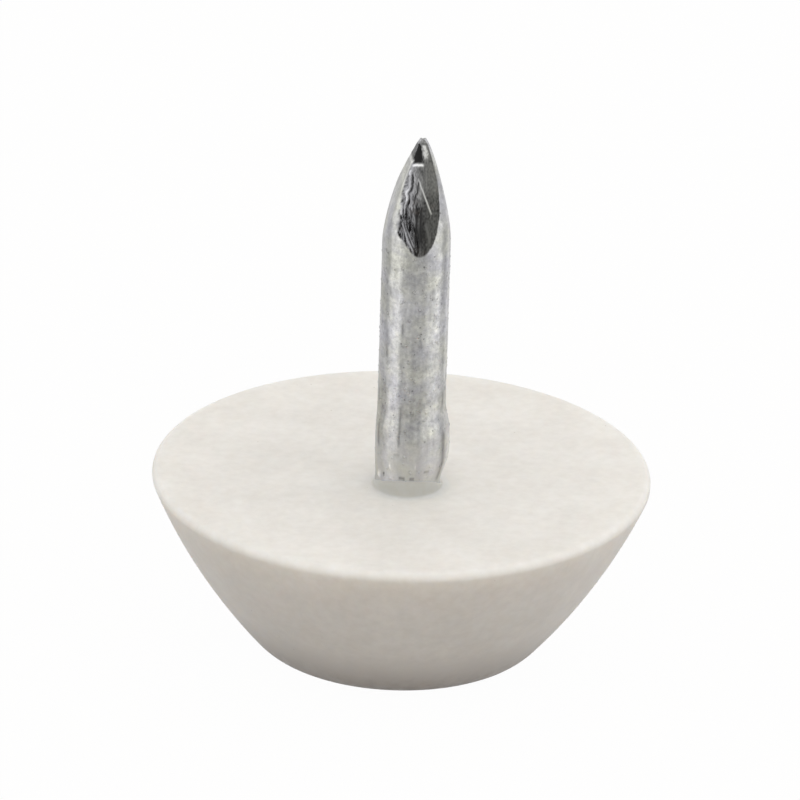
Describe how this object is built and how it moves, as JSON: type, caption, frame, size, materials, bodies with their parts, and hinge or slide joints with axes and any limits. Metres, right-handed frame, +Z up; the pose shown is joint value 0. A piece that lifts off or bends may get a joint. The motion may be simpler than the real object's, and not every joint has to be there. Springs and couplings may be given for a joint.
{
  "type": "nail-on furniture glide",
  "caption": "Round tapered plastic glide moulded on a steel nail, driven into the end of a furniture leg so that it slides on the floor.",
  "frame": {"origin": "centre of the flat face that slides on the floor", "axes": "+Z up the nail towards its point, +X to the right and +Y away from the viewer in the picture"},
  "size_m": [0.022, 0.022, 0.0246],
  "materials": {
    "off_white_plastic": "satin moulded, with faint mottling",
    "zinc_coated_steel": "dull mottled zinc with a rough sheared point"
  },
  "bodies": {
    "root": {"foot": "off_white_plastic", "nail": "zinc_coated_steel"}
  },
  "joints": []
}
